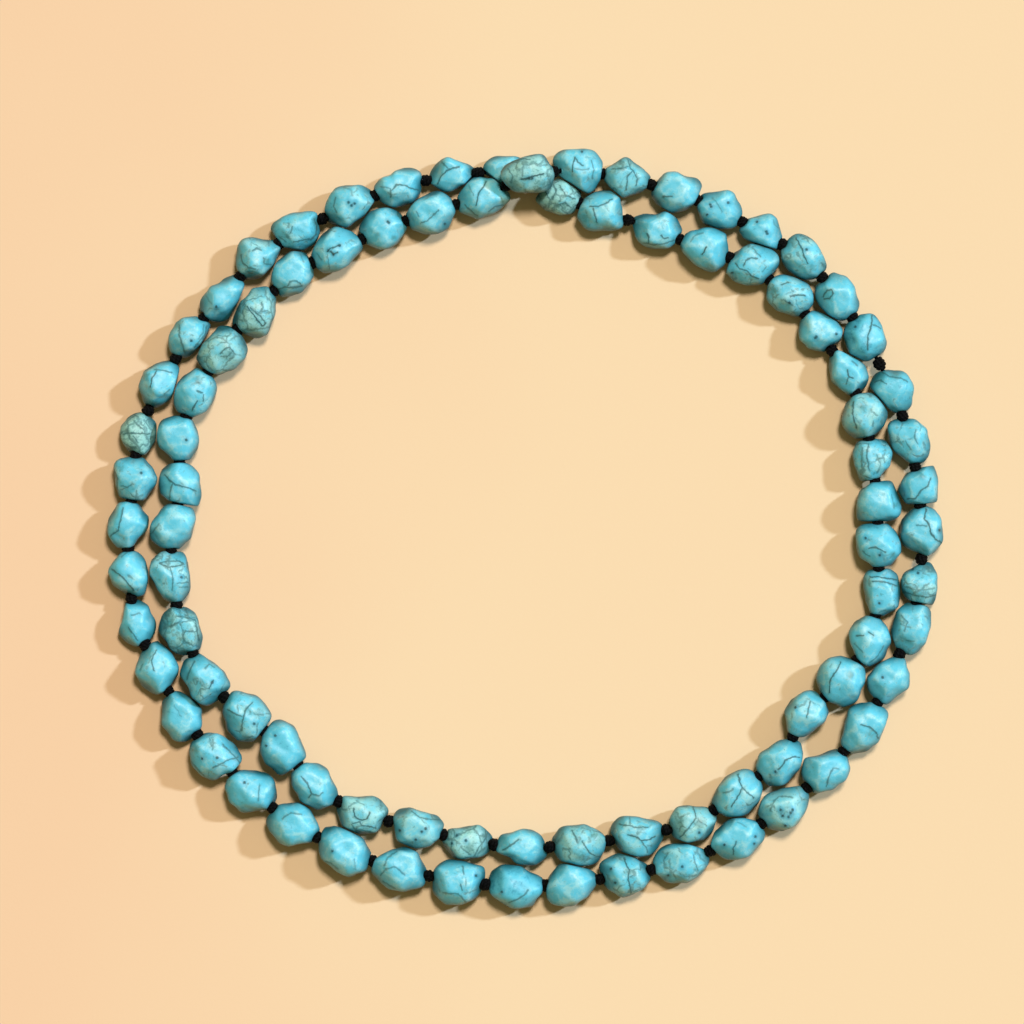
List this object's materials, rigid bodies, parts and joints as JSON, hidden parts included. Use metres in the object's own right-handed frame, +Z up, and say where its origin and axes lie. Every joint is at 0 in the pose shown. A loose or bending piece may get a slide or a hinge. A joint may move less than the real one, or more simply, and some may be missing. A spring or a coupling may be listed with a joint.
{
  "type": "beaded necklace",
  "caption": "Long endless necklace of tumbled turquoise nuggets, knotted on black thread and laid down in two turns with its far side crossed over.",
  "frame": {"origin": "under the middle of the loop, on the surface it lies on", "axes": "+Z up from the surface, +X along the loop's longer width, +Y towards the side where the string crosses itself"},
  "size_m": [0.2192, 0.1986, 0.0137],
  "materials": {
    "turquoise": "polished"
  },
  "bodies": {
    "root": {"outer_turn": "turquoise", "inner_turn": "turquoise"}
  },
  "joints": []
}
